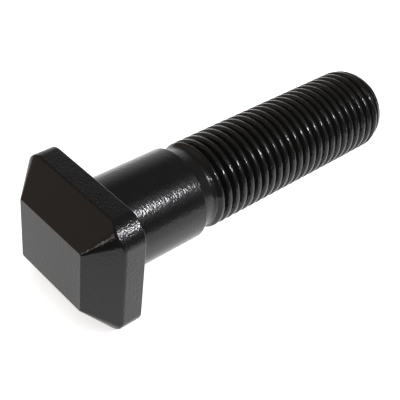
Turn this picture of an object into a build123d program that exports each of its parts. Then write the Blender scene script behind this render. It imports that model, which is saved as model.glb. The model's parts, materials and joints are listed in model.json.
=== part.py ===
from build123d import *
import math
import os

# A wheel bolt forged and rolled in one piece, with a rectangular head.
# It is made upright on its own axis, head down, and then laid down as it comes to rest.
# Sizes are in millimetres, and lengths along the bolt count from the bearing face under the head.

# Head
head_length = 29.8  # long side of the plate
head_width = 26.2  # short side of the plate
plate_thickness = 4.7  # straight-sided part next to the bearing face
plate_corner_radius = 3.5
taper_height = 5.8  # from the plate out to the end face
end_face_length = 18.85
end_face_width = 14.5
hip_foot_radius = 3.0  # rounding between two sloped faces where they reach the plate
hip_tip_radius = 0.45  # the same rounding at the corners of the end face
head_edge_radius = 0.35  # forged edges are slightly soft

# Shank and neck
bolt_length = 76.2
shank_diameter = 19.85
shank_length = 19.95
under_head_radius = 1.2
shoulder_length = 0.8  # the shank steps down to the neck over this length
shank_edge_radius = 0.3
neck_diameter = 17.7

# Thread
thread_diameter = 19.05
thread_start = 22.9  # where the first turn begins to rise out of the neck
thread_run_in = 1.8  # full height is reached over this length
tip_chamfer_length = 2.5
tip_diameter = 17.1


def head():
    """Plate with rounded corners, drawn in on four sides to a smaller end face."""
    total_height = plate_thickness + taper_height
    plate_plane = Plane.XY.offset(-plate_thickness)
    end_plane = Plane.XY.offset(-total_height)
    envelope_outline = RectangleRounded(head_width, head_length, plate_corner_radius)
    envelope = extrude(envelope_outline, amount=-total_height)
    foot_outline = plate_plane * RectangleRounded(head_width, head_length, hip_foot_radius)
    end_outline = end_plane * RectangleRounded(end_face_width, end_face_length, hip_tip_radius)
    taper = loft([foot_outline, end_outline], ruled=True)
    plate = extrude(envelope_outline, amount=-plate_thickness)
    blank = plate + (taper & envelope)
    end_edges = blank.edges().group_by(Axis.Z)[0]
    back_edges = blank.edges().group_by(Axis.Z)[-1]
    return fillet(end_edges + back_edges, head_edge_radius)


def shank_and_thread():
    """Turned outline of shank, shoulder, neck and thread, spun about the bolt's axis."""
    shank_r = shank_diameter / 2
    neck_r = neck_diameter / 2
    thread_r = thread_diameter / 2
    tip_r = tip_diameter / 2
    outline = Polyline(
        (0, -plate_thickness),
        (shank_r, -plate_thickness),
        (shank_r, shank_length),
        (neck_r, shank_length + shoulder_length),
        (neck_r, thread_start),
        (thread_r, thread_start + thread_run_in),
        (thread_r, bolt_length - tip_chamfer_length),
        (tip_r, bolt_length),
        (0, bolt_length),
        close=True,
    )
    half_section = Plane.XZ * make_face(outline)
    return revolve(half_section, axis=Axis.Z)


def rest_tilt():
    """Angle in degrees between the bolt's axis and the floor, with head and thread touching it."""
    rise = head_width / 2 - head_edge_radius - thread_diameter / 2
    run = bolt_length - tip_chamfer_length + head_edge_radius
    reach = math.hypot(rise, run)
    return math.degrees(math.atan2(rise, run) + math.asin(head_edge_radius / reach))


def lay_down(upright):
    """Turn the tip to +X and a short side of the head to the floor."""
    return Rot(0, 90 + rest_tilt(), 0) * upright


def near_circle(edges, radius, height):
    """The round edges of this radius at this height along the bolt."""
    return [
        edge
        for edge in edges.filter_by(GeomType.CIRCLE)
        if abs(edge.radius - radius) < 1e-3 and abs(edge.center().Z - height) < 1e-3
    ]


def wheel_bolt():
    bolt = head() + shank_and_thread()
    under_head = near_circle(bolt.edges(), shank_diameter / 2, 0)
    bolt = fillet(under_head, under_head_radius)
    shank_end = near_circle(bolt.edges(), shank_diameter / 2, shank_length)
    bolt = fillet(shank_end, shank_edge_radius)
    return lay_down(bolt)


os.makedirs("parts", exist_ok=True)
export_step(wheel_bolt(), "parts/wheel_bolt.step")
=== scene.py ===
import json
import math

import bmesh
import bpy
from bpy.props import FloatProperty, FloatVectorProperty, IntProperty, PointerProperty, StringProperty
from mathutils import Matrix, Vector


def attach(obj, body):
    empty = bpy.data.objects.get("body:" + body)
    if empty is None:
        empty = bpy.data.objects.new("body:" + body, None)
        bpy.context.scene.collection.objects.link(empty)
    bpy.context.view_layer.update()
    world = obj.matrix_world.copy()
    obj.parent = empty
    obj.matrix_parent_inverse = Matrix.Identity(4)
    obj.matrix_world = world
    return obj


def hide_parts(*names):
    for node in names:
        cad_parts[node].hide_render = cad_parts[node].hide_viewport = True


bl_info = {
    "name": "Wheel Bolt",
    "version": (1, 0, 0),
    "blender": (4, 5, 0),
    "location": "View3D > Sidebar > Wheel Bolt",
    "description": "Models a black phosphated wheel bolt with a rectangular head, and the studio it lies in",
    "category": "Add Mesh",
}

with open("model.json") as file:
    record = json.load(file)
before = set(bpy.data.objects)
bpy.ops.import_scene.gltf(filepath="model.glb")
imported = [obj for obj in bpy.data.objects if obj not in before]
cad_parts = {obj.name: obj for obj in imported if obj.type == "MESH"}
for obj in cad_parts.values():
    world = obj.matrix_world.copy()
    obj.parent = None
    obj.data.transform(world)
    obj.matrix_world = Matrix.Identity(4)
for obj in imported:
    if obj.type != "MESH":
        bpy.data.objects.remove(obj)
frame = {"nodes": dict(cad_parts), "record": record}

MM = 0.001
NODE = "wheel_bolt"
HAIR = 0.0005 * MM  # points closer than this count as one


# What the frame says about the bolt
# The bolt is modelled upright on its axis, tip up, and then laid down as the frame has it.

def mount(name):
    """The named mount in the frame's record."""
    return next(each for each in frame["record"]["mounts"] if each["name"] == name)


def mount_radius(name):
    return mount(name)["dims"]["r_mm"] * MM


def reach(direction):
    """Lowest and highest place of the frame's solid along a direction."""
    places = [direction.dot(vertex.co) for vertex in frame["nodes"][NODE].data.vertices]
    return min(places), max(places)


TIP_WAY = Vector(mount("bearing_face")["axis"]).normalized()
UPPER_WAY = Vector(mount("head_flat_upper")["axis"]).normalized()
REST_TILT = math.atan2(-TIP_WAY.z, TIP_WAY.x)
HEAD_FOOT, BOLT_TIP = reach(TIP_WAY)
LOWER_FLAT, UPPER_FLAT = (
    UPPER_WAY.dot(Vector(mount(name)["pos_m"])) for name in ("head_flat_lower", "head_flat_upper")
)
LEFT_SIDE, RIGHT_SIDE = reach(Vector((0, 1, 0)))
FLOOR_HEIGHT = reach(Vector((0, 0, 1)))[0]


# Sizes and colours that a user would change

class WheelBoltHead(bpy.types.PropertyGroup):
    """Sizes of the forged head."""

    height: FloatProperty(
        name="Height", description="From the bearing face to the end face",
        default=-HEAD_FOOT, unit="LENGTH")
    width: FloatProperty(
        name="Width", description="Short side of the plate",
        default=UPPER_FLAT - LOWER_FLAT, unit="LENGTH")
    length: FloatProperty(
        name="Length", description="Long side of the plate",
        default=RIGHT_SIDE - LEFT_SIDE, unit="LENGTH")
    plate: FloatProperty(
        name="Plate", description="Thickness of the straight-sided plate",
        default=4.7 * MM, unit="LENGTH")
    corner: FloatProperty(
        name="Corner", description="Radius of the plate's corners",
        default=3.5 * MM, unit="LENGTH")
    worn_corner: FloatProperty(
        name="Worn Corner", description="How far the flattened corner reaches along each side",
        default=4.6 * MM, unit="LENGTH")
    worn_profile: FloatProperty(
        name="Worn Profile", description="Shape of the flattened corner, 0.5 round and 0.25 straight",
        default=0.42, min=0.25, max=0.5)
    end_width: FloatProperty(
        name="End Width", description="Short side of the end face",
        default=14.5 * MM, unit="LENGTH")
    end_length: FloatProperty(
        name="End Length", description="Long side of the end face",
        default=18.85 * MM, unit="LENGTH")
    hip_foot: FloatProperty(
        name="Hip at the Plate", description="Rounding between two slopes where they reach the plate",
        default=3.0 * MM, unit="LENGTH")
    hip_tip: FloatProperty(
        name="Hip at the End", description="Rounding between two slopes at the end face",
        default=0.45 * MM, unit="LENGTH")
    back_edge: FloatProperty(
        name="Back Edge", description="Rounding of the plate's edge at the bearing face",
        default=0.35 * MM, unit="LENGTH")
    end_edge: FloatProperty(
        name="End Edge", description="Rounding of the edge round the end face",
        default=0.3 * MM, unit="LENGTH")
    border_edge: FloatProperty(
        name="Border Edge", description="Rounding of the edge between the plate's sides and the slopes",
        default=0.9 * MM, unit="LENGTH")


class WheelBoltShank(bpy.types.PropertyGroup):
    """Sizes of the shank and of the neck beside it."""

    radius: FloatProperty(
        name="Radius", description="Radius of the plain shank",
        default=mount_radius("shank"), unit="LENGTH")
    length: FloatProperty(
        name="Length", description="From the bearing face to the shoulder",
        default=19.95 * MM, unit="LENGTH")
    root: FloatProperty(
        name="Under Head", description="Hollow rounding between shank and bearing face",
        default=1.2 * MM, unit="LENGTH")
    shoulder: FloatProperty(
        name="Shoulder", description="Length over which the shank steps down to the neck",
        default=0.8 * MM, unit="LENGTH")
    shoulder_edge: FloatProperty(
        name="Shoulder Edge", description="Rounding of the shank's end",
        default=0.45 * MM, unit="LENGTH")
    neck_radius: FloatProperty(
        name="Neck Radius", description="Radius of the neck between shank and thread",
        default=8.85 * MM, unit="LENGTH")
    neck_lean: FloatProperty(
        name="Neck Lean", description="Slight taper of the neck toward the thread",
        default=math.radians(11), unit="ROTATION")
    neck_end: FloatProperty(
        name="Neck Join", description="Where the turned neck meets the rolled part",
        default=21.2 * MM, unit="LENGTH")


class WheelBoltThread(bpy.types.PropertyGroup):
    """Sizes of the rolled thread, which has broad, rounded crests."""

    radius: FloatProperty(
        name="Radius", description="Radius over the crests",
        default=mount_radius("thread"), unit="LENGTH")
    pitch: FloatProperty(
        name="Pitch", description="Length of one turn, 12 turns to the inch",
        default=25.4 * MM / 12, unit="LENGTH")
    crest: FloatProperty(
        name="First Crest", description="Place of a crest along the side that faces the floor",
        default=25.46 * MM, unit="LENGTH")
    flank: FloatProperty(
        name="Flank Angle", description="Lean of each flank from square to the axis",
        default=math.radians(25), unit="ROTATION")
    crest_width: FloatProperty(
        name="Crest Width", description="Width of the crest between its two rounded edges",
        default=0.66 * MM, unit="LENGTH")
    crown: FloatProperty(
        name="Crown Radius", description="Radius of the slight bulge over the crest's width",
        default=1.2 * MM, unit="LENGTH")
    crest_round: FloatProperty(
        name="Crest Rounding", description="Rounding on both sides of the crest",
        default=0.2 * MM, unit="LENGTH")
    root_round: FloatProperty(
        name="Root Rounding", description="Rounding at the bottom of the groove",
        default=0.15 * MM, unit="LENGTH")
    start: FloatProperty(
        name="Start", description="Where the neck begins to rise to the thread",
        default=22.9 * MM, unit="LENGTH")
    rise: FloatProperty(
        name="Rise", description="Length over which the crests reach their full radius",
        default=1.7 * MM, unit="LENGTH")
    groove_start: FloatProperty(
        name="Groove Start", description="Where the groove begins",
        default=23.4 * MM, unit="LENGTH")
    run_in: FloatProperty(
        name="Run In", description="Length over which the groove reaches its full depth",
        default=1.6 * MM, unit="LENGTH")
    tip_length: FloatProperty(
        name="Tip Length", description="Length of the tapered tip",
        default=2.5 * MM, unit="LENGTH")
    tip_radius: FloatProperty(
        name="Tip Radius", description="Radius at the very end",
        default=8.55 * MM, unit="LENGTH")
    length: FloatProperty(
        name="End", description="From the bearing face to the tip",
        default=BOLT_TIP, unit="LENGTH")
    steps: IntProperty(
        name="Steps", description="Faces round one turn", default=120, min=24)


class WheelBoltFinish(bpy.types.PropertyGroup):
    """Colours and grain of the coating."""

    dark: StringProperty(
        name="Dark", description="Darker colour of the coating, as sRGB hex", default="#131312")
    light: StringProperty(
        name="Light", description="Lighter colour of the coating, as sRGB hex", default="#191817")
    roughness: FloatProperty(
        name="Roughness", description="Roughness of the oiled coating",
        default=0.16, subtype="FACTOR", min=0, max=1)
    slope_share: FloatProperty(
        name="Slope Share", description="Share of the grain's depth left on the head's slopes and end face",
        default=0.65, subtype="FACTOR", min=0, max=1)
    neck_roughness: FloatProperty(
        name="Neck Roughness", description="Roughness of the turned neck, which holds less oil",
        default=0.24, subtype="FACTOR", min=0, max=1)
    thread_roughness: FloatProperty(
        name="Thread Roughness", description="Roughness of the rolled thread",
        default=0.13, subtype="FACTOR", min=0, max=1)
    grain: FloatProperty(
        name="Grain", description="Width of the crystals' clusters",
        default=0.40 * MM, unit="LENGTH")
    grain_depth: FloatProperty(
        name="Grain Depth", description="Depth of the grain",
        default=0.065 * MM, unit="LENGTH")
    mark_width: FloatProperty(
        name="Mark Width", description="Width of the turning marks round the shank",
        default=0.32 * MM, unit="LENGTH")
    mark_length: FloatProperty(
        name="Mark Length", description="Length of the turning marks round the shank",
        default=0.8 * MM, unit="LENGTH")
    mark_share: FloatProperty(
        name="Mark Share", description="Share of the turning marks in the grain of the shank",
        default=0.75, subtype="FACTOR", min=0, max=1)


class WheelBoltStudio(bpy.types.PropertyGroup):
    """Floor, lights and camera."""

    floor_colour: StringProperty(
        name="Floor", description="Colour of the floor, as sRGB hex", default="#f4f4f4")
    floor_glow: FloatProperty(
        name="Floor Glow", description="Light from below the floor, where 1 is white", default=0.7)
    floor_near: FloatProperty(
        name="Floor Near Edge", description="How far the floor reaches toward the camera",
        default=44 * MM, unit="LENGTH")
    floor_right: FloatProperty(
        name="Floor Right Edge", description="How far the floor reaches to the camera's right",
        default=103 * MM, unit="LENGTH")
    key_size: FloatProperty(
        name="Key Size", description="Width of the main lamp", default=32 * MM, unit="LENGTH")
    key_height: FloatProperty(
        name="Key Height", description="Height of the main lamp", default=44 * MM, unit="LENGTH")
    key_glow: FloatProperty(
        name="Key Glow", description="Brightness of the main lamp, where 1 is white", default=90)
    ceiling_glow: FloatProperty(
        name="Ceiling Glow", description="Brightness of the lamp overhead, which the gloss doesn't show",
        default=1.3)
    window_size: FloatProperty(
        name="Window Size", description="Width of the warm lamp beyond the end face",
        default=80 * MM, unit="LENGTH")
    window_glow: FloatProperty(
        name="Window Glow", description="Brightness of the warm lamp beyond the end face", default=7)
    camera_place: FloatVectorProperty(
        name="Camera", description="Place of the camera",
        default=(-71.74 * MM, -99.79 * MM, 118.51 * MM), size=3, subtype="TRANSLATION", unit="LENGTH")
    camera_aim: FloatVectorProperty(
        name="Aim", description="Point that the camera looks at",
        default=(18.43 * MM, -8.90 * MM, 5.15 * MM), size=3, subtype="TRANSLATION", unit="LENGTH")
    camera_roll: FloatProperty(
        name="Roll", description="Turn of the camera about its line of sight",
        default=math.radians(4.320), unit="ROTATION")
    lens: FloatProperty(
        name="Lens", description="Focal length in millimetres on a 36 mm sensor", default=79.52)
    shift_x: FloatProperty(
        name="Shift X", description="Sideways shift of the lens", default=0.0015)
    shift_y: FloatProperty(
        name="Shift Y", description="Upward shift of the lens", default=-0.00725)


# Modelling by hand

def deselect_all():
    if bpy.context.mode != "OBJECT":
        bpy.ops.object.mode_set(mode="OBJECT")
    bpy.ops.object.select_all(action="DESELECT")


def select_only(piece):
    deselect_all()
    piece.select_set(True)
    bpy.context.view_layer.objects.active = piece


def start_edit(piece):
    """Enter edit mode on one piece alone, with nothing in it selected."""
    select_only(piece)
    bpy.ops.object.mode_set(mode="EDIT")
    bpy.ops.mesh.select_all(action="DESELECT")


def end_edit():
    bpy.ops.object.mode_set(mode="OBJECT")


def pick(piece, kind, test):
    """In edit mode, select only the vertices, edges or faces that pass a test."""
    bpy.ops.mesh.select_all(action="DESELECT")
    bpy.ops.mesh.select_mode(type=kind)
    mesh = bmesh.from_edit_mesh(piece.data)
    elements = {"VERT": mesh.verts, "EDGE": mesh.edges, "FACE": mesh.faces}[kind]
    for element in elements:
        if test(element):
            element.select_set(True)
    mesh.select_flush_mode()
    bmesh.update_edit_mesh(piece.data)


def at_height(vertex, height, slack=0.001 * MM):
    return abs(vertex.co.z - height) < slack


def level(element, height):
    """Whether all of an edge or face lies at one height along the bolt."""
    return all(at_height(vertex, height) for vertex in element.verts)


def upright(edge):
    """Whether an edge runs along the bolt for more than a millimetre."""
    return abs(edge.verts[0].co.z - edge.verts[1].co.z) > 1 * MM


def use_modifier(piece, kind, **settings):
    """Add a modifier to a piece and apply it."""
    select_only(piece)
    bpy.ops.object.modifier_add(type=kind)
    modifier = piece.modifiers[-1]
    for name, value in settings.items():
        setattr(modifier, name, value)
    bpy.ops.object.modifier_apply(modifier=modifier.name)


def block(name, width, length, bottom, top):
    """A block of that size, standing on the bolt's axis between two heights."""
    deselect_all()
    middle = (bottom + top) / 2
    bpy.ops.mesh.primitive_cube_add(size=1, location=(0, 0, middle), scale=(width, length, top - bottom))
    piece = bpy.context.object
    piece.name = name
    bpy.ops.object.transform_apply(location=True, rotation=True, scale=True)
    return piece


def draw_line(name, points):
    """A chain of edges through points given as radius and height, extruded one after the other."""
    deselect_all()
    bpy.ops.mesh.primitive_plane_add(size=1)
    line = bpy.context.object
    line.name = name
    start_edit(line)
    bpy.ops.mesh.select_mode(type="VERT")
    bpy.ops.mesh.select_all(action="SELECT")
    bpy.ops.mesh.merge(type="CENTER")
    radius, height = points[0]
    bpy.ops.transform.translate(value=(radius, 0, height))
    for next_radius, next_height in points[1:]:
        move = (next_radius - radius, 0, next_height - height)
        bpy.ops.mesh.extrude_region_move(TRANSFORM_OT_translate={"value": move})
        radius, height = next_radius, next_height
    end_edit()
    return line


def arc(centre, radius, start, end, steps):
    """Points on an arc in the plane of radius and height, from one angle to another in degrees."""
    points = []
    for step in range(steps + 1):
        angle = math.radians(start + (end - start) * step / steps)
        points.append((centre[0] + radius * math.cos(angle), centre[1] + radius * math.sin(angle)))
    return points


def smooth_step(value):
    value = min(max(value, 0), 1)
    return value * value * (3 - 2 * value)


# The head

def tapered_block(sizes):
    """A block drawn in to the end face on four sides, with rounded hips.

    Its foot is a little wider than the plate, so that the plate's outline trims it all round.
    """
    spare = 0.5 * MM
    taper = sizes.height - sizes.plate
    width = sizes.width + (sizes.width - sizes.end_width) * spare / taper
    length = sizes.length + (sizes.length - sizes.end_length) * spare / taper
    hip_foot = sizes.hip_foot + (sizes.hip_foot - sizes.hip_tip) * spare / taper
    blank = block("head_blank", width, length, -sizes.height, spare)
    start_edit(blank)
    bpy.ops.mesh.select_all(action="SELECT")
    bpy.ops.mesh.bisect(plane_co=(0, 0, spare - sizes.plate), plane_no=(0, 0, 1), threshold=HAIR)
    pick(blank, "EDGE", upright)
    bpy.ops.mesh.bevel(offset=hip_foot, segments=10, affect="EDGES", clamp_overlap=False)
    pick(blank, "VERT", lambda vertex: at_height(vertex, -sizes.height))
    across, along = sizes.end_width / width, sizes.end_length / length
    bpy.ops.transform.resize(value=(across, along, 1), center_override=(0, 0, -sizes.height))
    for side_x in (-1, 1):
        for side_y in (-1, 1):
            def of_this_corner(vertex):
                on_side = vertex.co.x * side_x > 0 and vertex.co.y * side_y > 0
                return on_side and at_height(vertex, -sizes.height)

            pick(blank, "VERT", of_this_corner)
            corner = (side_x * sizes.end_width / 2, side_y * sizes.end_length / 2, -sizes.height)
            shrink = (sizes.hip_tip / (hip_foot * across), sizes.hip_tip / (hip_foot * along), 1)
            bpy.ops.transform.resize(value=shrink, center_override=corner)
    end_edit()
    return blank


def plate_outline(sizes):
    """The plate's outline from the bearing face to past the end face.

    Three corners are round. The fourth, which is nearest to the camera, is flattened.
    """
    past_end = 1 * MM
    plate = block("plate_outline", sizes.width, sizes.length, -sizes.height - past_end, 0)

    def sharp(edge, worn):
        corner = edge.verts[0].co
        at_x = abs(abs(corner.x) - sizes.width / 2) < HAIR
        at_y = abs(abs(corner.y) - sizes.length / 2) < HAIR
        return upright(edge) and at_x and at_y and (corner.x < 0 and corner.y < 0) == worn

    start_edit(plate)
    pick(plate, "EDGE", lambda edge: sharp(edge, worn=False))
    bpy.ops.mesh.bevel(offset=sizes.corner, segments=18, affect="EDGES", clamp_overlap=False)
    pick(plate, "EDGE", lambda edge: sharp(edge, worn=True))
    bpy.ops.mesh.bevel(
        offset=sizes.worn_corner, segments=24, profile=sizes.worn_profile, affect="EDGES",
        clamp_overlap=False)
    end_edit()
    return plate


def soften_edges(head, test, rounding, turn):
    """Round the edges that pass a test, where two faces meet at that turn in degrees."""
    pick(head, "EDGE", test)
    offset = rounding * math.tan(math.radians(turn / 2))
    bpy.ops.mesh.bevel(offset=offset, segments=4, affect="EDGES", clamp_overlap=False)


def forge_head(sizes):
    """The tapered block cut to the plate's outline, with soft edges."""
    head = tapered_block(sizes)
    outline = plate_outline(sizes)
    use_modifier(head, "BOOLEAN", operation="INTERSECT", object=outline, solver="EXACT")
    bpy.data.objects.remove(outline)
    start_edit(head)
    bpy.ops.mesh.select_all(action="SELECT")
    bpy.ops.mesh.remove_doubles(threshold=HAIR)
    rise, run = sizes.height - sizes.plate, (sizes.width - sizes.end_width) / 2
    end_turn = math.degrees(math.atan2(rise, run))
    soften_edges(head, lambda edge: level(edge, -sizes.height), sizes.end_edge, end_turn)
    lowest, highest = -sizes.height + 1 * MM, -0.01 * MM
    sharp_turn = math.radians(28)

    def at_border(edge):
        """Whether plate and slope meet at an edge, known by its sharp turn between the flat faces."""
        between = all(lowest < vertex.co.z < highest for vertex in edge.verts)
        return between and len(edge.link_faces) == 2 and edge.calc_face_angle() > sharp_turn

    soften_edges(head, at_border, sizes.border_edge, 90 - end_turn)
    soften_edges(head, lambda edge: level(edge, 0), sizes.back_edge, 90)
    pick(head, "FACE", lambda face: level(face, 0))
    bpy.ops.mesh.delete(type="FACE")
    end_edit()
    return head


# The shank and neck

def neck_radius(sizes, height):
    """The slightly tapered neck's radius at a height, which is the named one halfway along."""
    halfway = 22 * MM
    return sizes.neck_radius + math.tan(sizes.neck_lean) * (halfway - height)


def turn_shank(sizes):
    """The outline from the bearing face to the neck, spun round the bolt's axis."""
    rise = sizes.radius - neck_radius(sizes, sizes.length + sizes.shoulder)
    slope = math.degrees(math.atan2(rise, sizes.shoulder))
    hold_back = sizes.shoulder_edge * math.tan(math.radians(slope / 2))
    edge_centre = (sizes.radius - sizes.shoulder_edge, sizes.length - hold_back)
    foot_height = sizes.length + sizes.shoulder + hold_back
    foot_centre = (neck_radius(sizes, foot_height) + sizes.shoulder_edge, foot_height)
    outline = arc((sizes.radius + sizes.root, sizes.root), sizes.root, 270, 180, 10)
    outline += arc(edge_centre, sizes.shoulder_edge, 0, slope, 5)
    outline += arc(foot_centre, sizes.shoulder_edge, 180 + slope, 180, 5)
    outline.append((neck_radius(sizes, sizes.neck_end), sizes.neck_end))
    shank = draw_line("shank", outline)
    start_edit(shank)
    bpy.ops.mesh.select_all(action="SELECT")
    bpy.ops.mesh.spin(steps=96, angle=2 * math.pi, center=(0, 0, 0), axis=(0, 0, 1))
    bpy.ops.mesh.select_all(action="SELECT")
    bpy.ops.mesh.remove_doubles(threshold=HAIR)
    end_edit()
    return shank


# The thread

def thread_outline(sizes, middle):
    """One turn's outline from root to root, with the crest at the height called middle."""
    flank = math.degrees(sizes.flank)
    crown, crest, root = sizes.crown, sizes.crest_round, sizes.root_round
    half = sizes.pitch / 2
    edge = math.asin(sizes.crest_width / 2 / crown)
    in_from_crown = (crown - crest) * math.cos(edge)
    aside = (crown - crest) * math.sin(edge)
    crest_radius = sizes.radius - crown + in_from_crown
    straight = (half - aside - (crest + root) * math.cos(sizes.flank)) / math.tan(sizes.flank)
    root_radius = crest_radius - straight + (crest + root) * math.sin(sizes.flank)
    edge = math.degrees(edge)
    points = arc((root_radius, middle - half), root, 180, 90 + flank, 3)
    points += arc((crest_radius, middle - aside), crest, flank - 90, -edge, 3)
    points += arc((sizes.radius - crown, middle), crown, -edge, edge, 8)[1:-1]
    points += arc((crest_radius, middle + aside), crest, edge, 90 - flank, 3)
    points += arc((root_radius, middle + half), root, 270 - flank, 180, 3)
    return points


def soft_minimum(first, second, blend):
    """The smaller of two lengths, with the step between them rounded over the blend."""
    share = min(max(0.5 + 0.5 * (second - first) / blend, 0), 1)
    return second + (first - second) * share - blend * share * (1 - share)


def roll_thread(sizes, shank_sizes):
    """The outline of one turn wound up the bolt, faded into the neck and drawn in at the tip."""
    turns_below = 4
    middle = sizes.crest - turns_below * sizes.pitch
    turns = math.ceil((sizes.length - middle) / sizes.pitch) + 1
    thread = draw_line("thread", thread_outline(sizes, middle))
    use_modifier(
        thread, "SCREW", angle=2 * math.pi, screw_offset=sizes.pitch, iterations=turns,
        steps=sizes.steps, render_steps=sizes.steps, use_merge_vertices=True,
        merge_threshold=HAIR)
    start_edit(thread)
    bpy.ops.mesh.select_all(action="SELECT")
    bpy.ops.mesh.remove_doubles(threshold=HAIR)
    bpy.ops.mesh.bisect(
        plane_co=(0, 0, shank_sizes.neck_end), plane_no=(0, 0, 1), clear_inner=True, threshold=HAIR)
    bpy.ops.mesh.select_all(action="SELECT")
    bpy.ops.mesh.bisect(
        plane_co=(0, 0, sizes.length), plane_no=(0, 0, 1), clear_outer=True, threshold=HAIR)
    end_edit()
    taper = (sizes.radius - sizes.tip_radius) / sizes.tip_length
    tip_blend = 0.12 * MM
    for vertex in thread.data.vertices:
        height = vertex.co.z
        radius = vertex.co.xy.length
        neck = neck_radius(shank_sizes, min(height, sizes.start + sizes.rise))
        blank = neck + (sizes.radius - neck) * smooth_step((height - sizes.start) / sizes.rise)
        cut = smooth_step((height - sizes.groove_start) / sizes.run_in)
        wanted = blank - cut * (sizes.radius - radius)
        cone = sizes.tip_radius + taper * (sizes.length - height)
        wanted = soft_minimum(wanted, cone, tip_blend)
        vertex.co.x *= wanted / radius
        vertex.co.y *= wanted / radius
    return thread


# Finish

def linear(hex_colour):
    """An sRGB hex colour as linear red, green, blue and alpha."""
    values = [int(hex_colour[place:place + 2], 16) / 255 for place in (1, 3, 5)]
    return [v / 12.92 if v <= 0.04045 else ((v + 0.055) / 1.055) ** 2.4 for v in values] + [1]


def add_node(owner, kind, place, settings=(), values=(), links=()):
    """Add a node at a place, set its properties and socket values, and link its inputs."""
    tree = owner.node_tree
    node = tree.nodes.new(kind)
    node.location = place
    for name, value in dict(settings).items():
        setattr(node, name, value)
    for socket, value in dict(values).items():
        node.inputs[socket].default_value = value
    for socket, source in dict(links).items():
        tree.links.new(source, node.inputs[socket])
    return node


def new_material(name):
    material = bpy.data.materials.new(name)
    material.use_nodes = True
    material.node_tree.nodes.clear()
    return material


def fade_along(material, place, along, span, values, links=()):
    """A number that changes smoothly over a span of the bolt's length."""
    return add_node(
        material, "ShaderNodeMapRange", place, settings={"interpolation_type": "SMOOTHSTEP"},
        values={"From Min": span[0], "From Max": span[1], **values},
        links={"Value": along, **dict(links)}).outputs["Result"]


def black_phosphate(finish):
    """Forged steel with a black phosphate coating, lightly oiled.

    The crystals of the coating give a fine grain that breaks the light into glitter,
    and the oil film over them gives a dark, even gloss without any colour of metal.
    The real crystals are under 0.05 mm. Grain and marks are drawn as clusters of them,
    because the picture shows nothing finer than about 0.2 mm.
    """
    slopes_end = (-5.4 * MM, -4.4 * MM)
    shank_begins = (0.0, 1.5 * MM)
    neck_begins = (20.5 * MM, 21.3 * MM)
    thread_begins = (22.8 * MM, 24.0 * MM)
    patch = 3 * MM
    mirroring = 0.27  # plain oil would be 0.5, and the crystals under it trap part of that light
    material = new_material("black phosphated steel, oiled")
    place = add_node(material, "ShaderNodeTexCoord", (-1200, 0))
    along_bolt = add_node(
        material, "ShaderNodeMapping", (-1000, 0), values={"Rotation": (0, -REST_TILT, 0)},
        links={"Vector": place.outputs["Object"]}).outputs["Vector"]
    along = add_node(
        material, "ShaderNodeSeparateXYZ", (-750, -650), links={"Vector": along_bolt}).outputs["X"]
    grain = add_node(
        material, "ShaderNodeTexNoise", (-750, 0),
        values={"Scale": 1 / finish.grain, "Detail": 1, "Roughness": 0.5}, links={"Vector": along_bolt})
    stretched = add_node(
        material, "ShaderNodeMapping", (-1000, -350),
        values={"Scale": (1 / finish.mark_width, 1 / finish.mark_length, 1 / finish.mark_length)},
        links={"Vector": along_bolt})
    marks = add_node(
        material, "ShaderNodeTexNoise", (-750, -350),
        values={"Scale": 1.0, "Detail": 1, "Roughness": 0.5},
        links={"Vector": stretched.outputs["Vector"]})
    marked = fade_along(
        material, (-550, -650), along, shank_begins, {"To Min": 0.0, "To Max": finish.mark_share})
    height = add_node(
        material, "ShaderNodeMix", (-350, -350), settings={"data_type": "FLOAT"},
        links={0: marked, 2: grain.outputs["Fac"], 3: marks.outputs["Fac"]})
    depth = fade_along(
        material, (-550, -900), along, slopes_end, {"To Min": finish.slope_share, "To Max": 1.0})
    bump = add_node(
        material, "ShaderNodeBump", (-350, -600), values={"Distance": finish.grain_depth},
        links={"Strength": depth, "Height": height.outputs[0]})
    patches = add_node(
        material, "ShaderNodeTexNoise", (-750, 300),
        values={"Scale": 1 / patch, "Detail": 3, "Roughness": 0.55}, links={"Vector": along_bolt})
    colour = add_node(
        material, "ShaderNodeMix", (-450, 300), settings={"data_type": "RGBA"},
        links={0: patches.outputs["Fac"]})
    colour.inputs[6].default_value = linear(finish.dark)
    colour.inputs[7].default_value = linear(finish.light)
    turned = fade_along(
        material, (-850, -150), along, neck_begins,
        {"To Min": finish.roughness, "To Max": finish.neck_roughness})
    rolled = fade_along(
        material, (-650, -150), along, thread_begins,
        {"To Max": finish.thread_roughness}, links={"To Min": turned})
    uneven = add_node(
        material, "ShaderNodeMapRange", (-650, 100),
        values={"From Min": 0.3, "From Max": 0.7, "To Min": -0.03, "To Max": 0.03},
        links={"Value": patches.outputs["Fac"]})
    gloss = add_node(
        material, "ShaderNodeMath", (-450, 0), settings={"operation": "ADD"},
        links={0: rolled, 1: uneven.outputs["Result"]})
    surface = add_node(
        material, "ShaderNodeBsdfPrincipled", (-200, 0),
        values={"Metallic": 0.0, "IOR": 1.5, "Specular IOR Level": mirroring,
                "Specular Tint": (0.97, 0.96, 1.0, 1)},
        links={"Base Color": colour.outputs[2], "Roughness": gloss.outputs["Value"],
               "Normal": bump.outputs["Normal"]})
    add_node(
        material, "ShaderNodeOutputMaterial", (100, 0),
        links={"Surface": surface.outputs["BSDF"]})
    return material


def light_table(studio):
    """Glossy white acrylic lit from below, which gives an even white and mirrors the lamp a little."""
    material = new_material("white acrylic light table")
    surface = add_node(
        material, "ShaderNodeBsdfPrincipled", (-200, 0),
        values={"Base Color": linear(studio.floor_colour), "Roughness": 0.35,
                "Emission Color": (1, 1, 1, 1), "Emission Strength": studio.floor_glow})
    add_node(
        material, "ShaderNodeOutputMaterial", (100, 0),
        links={"Surface": surface.outputs["BSDF"]})
    return material


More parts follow.
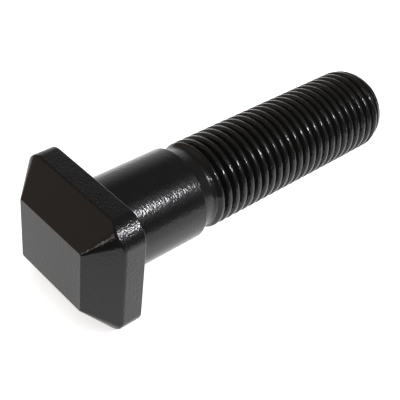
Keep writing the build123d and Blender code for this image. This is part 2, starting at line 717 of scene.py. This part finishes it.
def toward(azimuth, elevation):
    """The direction at that azimuth and elevation in degrees."""
    turn, rise = math.radians(azimuth), math.radians(elevation)
    return Vector((math.cos(turn) * math.cos(rise), math.sin(turn) * math.cos(rise), math.sin(rise)))


KEY_WAY = toward(-55, 38)  # from the bolt to the main lamp, which has a soft glow round it


# Operators

class WHEELBOLT_OT_make_bolt(bpy.types.Operator):
    """Model the wheel bolt, lay it down and give it its finish."""

    bl_idname = "wheelbolt.make_bolt"
    bl_label = "Make Wheel Bolt"

    def execute(self, context):
        scene = context.scene
        shank_sizes = scene.wheel_bolt_shank
        head = forge_head(scene.wheel_bolt_head)
        shank = turn_shank(shank_sizes)
        thread = roll_thread(scene.wheel_bolt_thread, shank_sizes)
        bolt = self.join(head, shank, thread)
        self.bridge(bolt, 0)
        self.bridge(bolt, shank_sizes.neck_end)
        self.close_tip(bolt)
        self.finish_mesh(bolt)
        self.lay_down(bolt)
        bolt.data.materials.clear()
        bolt.data.materials.append(black_phosphate(scene.wheel_bolt_finish))
        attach(bolt, "root")
        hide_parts(NODE)
        return {"FINISHED"}

    def join(self, head, *others):
        """Make one object of the parts, which still have open rims toward one another."""
        deselect_all()
        for part in (head, *others):
            part.select_set(True)
        bpy.context.view_layer.objects.active = head
        bpy.ops.object.join()
        head.name = "wheel_bolt_body"
        head.data.name = "wheel_bolt_body"
        return head

    def bridge(self, bolt, height):
        """Join the two open rims at one height along the bolt."""
        start_edit(bolt)
        pick(bolt, "EDGE", lambda edge: edge.is_boundary and level(edge, height))
        bpy.ops.mesh.bridge_edge_loops()
        end_edit()

    def close_tip(self, bolt):
        """Close the tip with a flat face, with a narrow ring round it that keeps its shading flat."""
        ring = 0.4 * MM
        start_edit(bolt)
        pick(bolt, "EDGE", lambda edge: edge.is_boundary)
        bpy.ops.mesh.edge_face_add()
        bpy.ops.mesh.inset(thickness=ring, depth=0)
        end_edit()

    def finish_mesh(self, bolt):
        """Turn the faces outward, make sure that the mesh is closed, and shade it."""
        start_edit(bolt)
        bpy.ops.mesh.select_all(action="SELECT")
        bpy.ops.mesh.normals_make_consistent(inside=False)
        mesh = bmesh.from_edit_mesh(bolt.data)
        open_edges = [edge for edge in mesh.edges if len(edge.link_faces) != 2]
        if open_edges:
            end_edit()
            raise RuntimeError(f"the bolt's mesh has {len(open_edges)} open or doubled edges")
        end_edit()
        select_only(bolt)
        bpy.ops.object.shade_smooth_by_angle(angle=math.radians(35))
        use_modifier(bolt, "WEIGHTED_NORMAL", mode="FACE_AREA", weight=50, keep_sharp=True)

    def lay_down(self, bolt):
        """Turn the tip to the frame's +X and down to the floor."""
        select_only(bolt)
        bolt.rotation_euler = (0, math.pi / 2 + REST_TILT, 0)
        bpy.ops.object.transform_apply(location=True, rotation=True, scale=True)


class WHEELBOLT_OT_set_stage(bpy.types.Operator):
    """Lay out the floor, the lights and the camera."""

    bl_idname = "wheelbolt.set_stage"
    bl_label = "Set Stage"

    def execute(self, context):
        studio = context.scene.wheel_bolt_studio
        self.floor(studio)
        self.lights(studio)
        self.surroundings(context.scene)
        self.camera(context.scene, studio)
        return {"FINISHED"}

    def floor(self, studio):
        """A table top whose near and right edges lie just outside the picture."""
        near, right, far = studio.floor_near, studio.floor_right, 400 * MM
        near_way, right_way = toward(-135, 0), toward(-45, 0)
        middle = near_way * (near - far) / 2 + right_way * (right - far) / 2
        deselect_all()
        bpy.ops.mesh.primitive_plane_add(size=1, location=(middle.x, middle.y, FLOOR_HEIGHT))
        floor = bpy.context.object
        floor.name = "floor"
        floor.scale = (near + far, right + far, 1)
        floor.rotation_euler = (0, 0, math.radians(-135))
        bpy.ops.object.transform_apply(location=True, rotation=True, scale=True)
        floor.data.materials.append(light_table(studio))

    def lights(self, studio):
        """A small bright lamp, a warm one low beyond the end face, and soft light from overhead."""
        head = Vector((-8, -10, 6)) * MM
        shank = Vector((2, -7, 7)) * MM
        self.soft_light(
            "key", shank, KEY_WAY, 0.25, (studio.key_size, studio.key_height), studio.key_glow)
        window = self.soft_light(
            "window", head, toward(-174, 19), 0.4, (studio.window_size, studio.window_size),
            studio.window_glow)
        window.data.color = (1.0, 0.93, 0.84)
        ceiling = self.soft_light("ceiling", shank, toward(0, 90), 0.5, (0.6, 0.6), studio.ceiling_glow)
        ceiling.visible_glossy = False

    def soft_light(self, name, target, way, distance, size, glow):
        """A lamp that faces the target, where glow is its brightness next to white paper's."""
        deselect_all()
        bpy.ops.object.light_add(type="AREA", location=target + way * distance)
        lamp = bpy.context.object
        lamp.name = name
        lamp.rotation_euler = way.to_track_quat("Z", "Y").to_euler()
        lamp.data.shape = "RECTANGLE"
        lamp.data.size, lamp.data.size_y = size
        lamp.data.energy = glow * math.pi * size[0] * size[1]
        lamp.visible_camera = False
        return lamp

    def surroundings(self, scene):
        """A dim room, and plain white behind the table where the camera looks past it.

        The room has a bright far side, a dim warm left side, a glow round the main lamp
        and a fading light from the table's edge.
        """
        world = bpy.data.worlds.new("studio room")
        scene.world = world
        world.use_nodes = True
        world.node_tree.nodes.clear()
        way = add_node(world, "ShaderNodeTexCoord", (-1300, 0)).outputs["Generated"]
        far_side = self.glow(world, way, 300, toward(55, -2), 46, 1.6, (0.97, 0.97, 0.97))
        warm_left = self.glow(world, way, -100, toward(138, 24), 48, 0.8, (0.55, 0.43, 0.34))
        round_key = self.glow(world, way, -500, KEY_WAY, 30, 2.5, (2.2, 2.2, 2.2))
        table_edge = self.glow(world, way, -900, toward(-58, -20), 25, 1.5, (0.65, 0.65, 0.65))
        room = add_node(
            world, "ShaderNodeVectorMath", (-300, 300), settings={"operation": "ADD"},
            values={1: (0.10, 0.10, 0.11)}, links={0: far_side}).outputs["Vector"]
        for row, light in ((100, warm_left), (-100, round_key), (-300, table_edge)):
            room = add_node(
                world, "ShaderNodeVectorMath", (-300, row), settings={"operation": "ADD"},
                links={0: room, 1: light}).outputs["Vector"]
        ray = add_node(world, "ShaderNodeLightPath", (-100, 500))
        seen = add_node(
            world, "ShaderNodeMix", (100, 100), settings={"data_type": "RGBA"},
            links={0: ray.outputs["Is Camera Ray"], 6: room})
        seen.inputs[7].default_value = (1, 1, 1, 1)
        background = add_node(
            world, "ShaderNodeBackground", (300, 100), links={"Color": seen.outputs[2]})
        add_node(
            world, "ShaderNodeOutputWorld", (500, 100), links={"Surface": background.outputs["Background"]})

    def glow(self, world, way, row, centre, edge, falloff, colour):
        """Light from around one direction that fades out at an angle from it in degrees."""
        nearness = add_node(
            world, "ShaderNodeVectorMath", (-1100, row), settings={"operation": "DOT_PRODUCT"},
            values={1: centre}, links={0: way})
        share = add_node(
            world, "ShaderNodeMapRange", (-900, row),
            values={"From Min": math.cos(math.radians(edge)), "From Max": 1.0},
            links={"Value": nearness.outputs["Value"]})
        fade = add_node(
            world, "ShaderNodeMath", (-700, row), settings={"operation": "POWER"},
            values={1: falloff}, links={0: share.outputs["Result"]})
        light = add_node(
            world, "ShaderNodeVectorMath", (-500, row), settings={"operation": "SCALE"},
            values={0: colour}, links={"Scale": fade.outputs["Value"]})
        return light.outputs["Vector"]

    def camera(self, scene, studio):
        """The camera at the photograph's viewing angle."""
        place, aim = Vector(studio.camera_place), Vector(studio.camera_aim)
        deselect_all()
        bpy.ops.object.camera_add(location=place)
        camera = bpy.context.object
        camera.name = "camera"
        level_turn = (aim - place).to_track_quat("-Z", "Y").to_matrix()
        camera.rotation_euler = (level_turn @ Matrix.Rotation(studio.camera_roll, 3, "Z")).to_euler()
        camera.data.lens = studio.lens
        camera.data.sensor_width = 36
        camera.data.shift_x = studio.shift_x
        camera.data.shift_y = studio.shift_y
        camera.data.clip_start = 0.01
        camera.data.clip_end = 20
        scene.camera = camera
        scene.view_settings.view_transform = "Standard"


class WHEELBOLT_PT_sidebar(bpy.types.Panel):
    """Sizes, colours and steps of the wheel bolt."""

    bl_idname = "WHEELBOLT_PT_sidebar"
    bl_label = "Wheel Bolt"
    bl_space_type = "VIEW_3D"
    bl_region_type = "UI"
    bl_category = "Wheel Bolt"

    def draw(self, context):
        for name in GROUPS:
            box = self.layout.box()
            box.label(text=name.removeprefix("wheel_bolt_").capitalize())
            settings = getattr(context.scene, name)
            for prop in settings.bl_rna.properties:
                if not prop.is_readonly and prop.identifier != "name":
                    box.prop(settings, prop.identifier)
        self.layout.operator(WHEELBOLT_OT_make_bolt.bl_idname)
        self.layout.operator(WHEELBOLT_OT_set_stage.bl_idname)


GROUPS = {
    "wheel_bolt_head": WheelBoltHead,
    "wheel_bolt_shank": WheelBoltShank,
    "wheel_bolt_thread": WheelBoltThread,
    "wheel_bolt_finish": WheelBoltFinish,
    "wheel_bolt_studio": WheelBoltStudio,
}
CLASSES = [*GROUPS.values(), WHEELBOLT_OT_make_bolt, WHEELBOLT_OT_set_stage, WHEELBOLT_PT_sidebar]


def register():
    for each in CLASSES:
        bpy.utils.register_class(each)
    for name, group in GROUPS.items():
        setattr(bpy.types.Scene, name, PointerProperty(type=group))


def unregister():
    for name in GROUPS:
        delattr(bpy.types.Scene, name)
    for each in reversed(CLASSES):
        bpy.utils.unregister_class(each)


def main():
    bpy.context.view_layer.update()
    register()
    bpy.ops.wheelbolt.make_bolt()
    bpy.ops.wheelbolt.set_stage()


if __name__ == "__main__":
    main()
